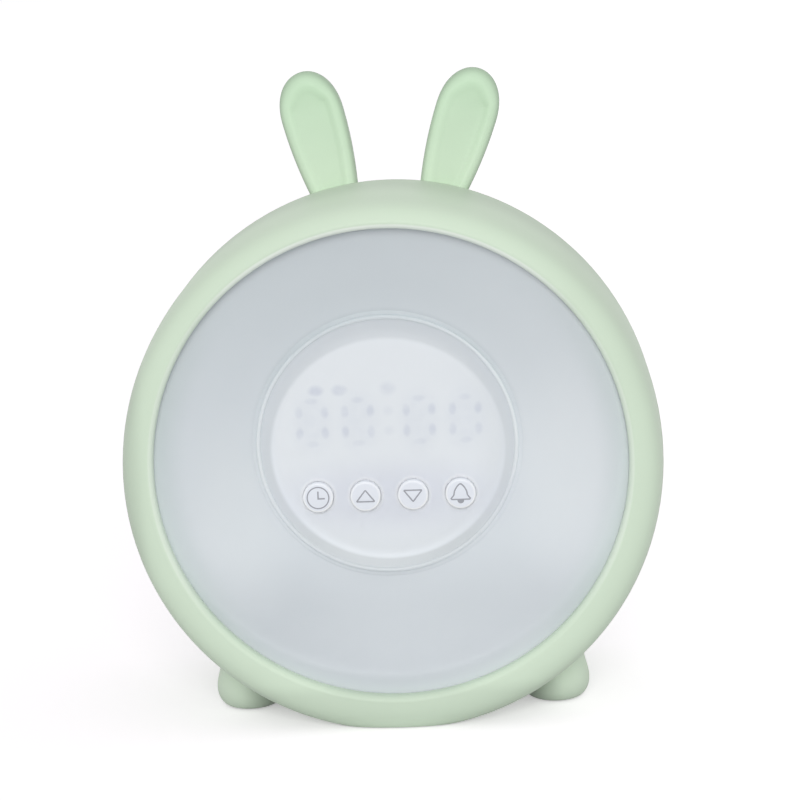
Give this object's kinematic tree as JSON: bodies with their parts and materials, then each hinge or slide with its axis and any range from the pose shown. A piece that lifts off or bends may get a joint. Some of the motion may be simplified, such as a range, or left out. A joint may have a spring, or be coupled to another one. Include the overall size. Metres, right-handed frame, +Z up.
{
  "type": "alarm clock",
  "caption": "Child's bedside alarm clock and night light: round drum casing with bunny ears, opal light bowl, hidden digits and push buttons.",
  "frame": {"origin": "on the table, under the centre of the casing", "axes": "+Z up, the clock face looks along -Y, +X is to the right of someone who reads the clock"},
  "size_m": [0.1693, 0.0866, 0.1999],
  "materials": {
    "shell_green": "fine matt moulded surface, pale sage green",
    "ear_green": "fine matt moulded surface, slightly fresher pale green",
    "diffuser_white": "smooth satin opal white",
    "button_white": "smooth satin white with thin printed icons",
    "switch_black": "black moulded plastic",
    "inner_white": "white moulded plastic",
    "light_guide": "translucent bluish grey window plastic",
    "led_lens": "clear yellowish lens plastic",
    "circuit_board": "green solder resist",
    "pad_rubber": "matt grey anti-slip rubber",
    "screw_steel": "zinc plated steel",
    "socket_steel": "bright drawn steel",
    "contact_brass": "plated spring brass",
    "speaker_black": "black",
    "speaker_cloth": "fine dark acoustic cloth",
    "lead_insulation": "flexible wire insulation"
  },
  "bodies": {
    "casing": {"base_pad": "pad_rubber", "cable_sockets": "inner_white", "case_screws": "screw_steel", "cell_contacts": "contact_brass", "coin_cell": "socket_steel", "diffuser": "diffuser_white", "digit_segments": "light_guide", "display_board": "circuit_board", "display_hood": "inner_white", "display_leds": "led_lens", "display_screws": "screw_steel", "display_stand": "inner_white", "foot_pads": "pad_rubber", "foot_screws": "screw_steel", "front_shell": "shell_green", "grille_cloth": "speaker_cloth", "led_board": "circuit_board", "left_ear": "ear_green", "left_foot": "shell_green", "light_leds": "led_lens", "main_board": "circuit_board", "main_board_screws": "screw_steel", "main_chips": "switch_black", "power_socket": "socket_steel", "rear_cover": "shell_green", "reflector": "inner_white", "reflector_screws": "screw_steel", "ribbon_cable": "inner_white", "right_ear": "ear_green", "right_foot": "shell_green", "socket_tongue": "switch_black", "speaker_basket": "speaker_black", "speaker_cone": "speaker_black", "speaker_leads": "lead_insulation", "speaker_magnet": "screw_steel", "speaker_plug": "inner_white", "speaker_screws": "screw_steel", "stand_screws": "screw_steel", "switch_bodies": "switch_black"},
    "clock_button": {"button_clock": "button_white", "plunger_clock": "switch_black"},
    "up_button": {"button_up": "button_white", "plunger_up": "switch_black"},
    "down_button": {"button_down": "button_white", "plunger_down": "switch_black"},
    "alarm_button": {"button_alarm": "button_white", "plunger_alarm": "switch_black"},
    "battery_cap": {"battery_cap": "shell_green"}
  },
  "joints": [
    {"name": "clock_press", "type": "slide", "parent": "casing", "child": "clock_button", "axis": [0, 1, 0], "range_m": [0, 0.0005], "stiffness_N_per_m": 1500, "springref_m": -0.0005},
    {"name": "up_press", "type": "slide", "parent": "casing", "child": "up_button", "axis": [0, 1, 0], "range_m": [0, 0.0005], "stiffness_N_per_m": 1500, "springref_m": -0.0005},
    {"name": "down_press", "type": "slide", "parent": "casing", "child": "down_button", "axis": [0, 1, 0], "range_m": [0, 0.0005], "stiffness_N_per_m": 1500, "springref_m": -0.0005},
    {"name": "alarm_press", "type": "slide", "parent": "casing", "child": "alarm_button", "axis": [0, 1, 0], "range_m": [0, 0.0005], "stiffness_N_per_m": 1500, "springref_m": -0.0005},
    {"name": "battery_cap_turn", "type": "hinge", "parent": "casing", "child": "battery_cap", "pos_m": [-0.04, 0.0413, 0.056], "axis": [0, 1, 0], "range_deg": [0, 50]}
  ]
}
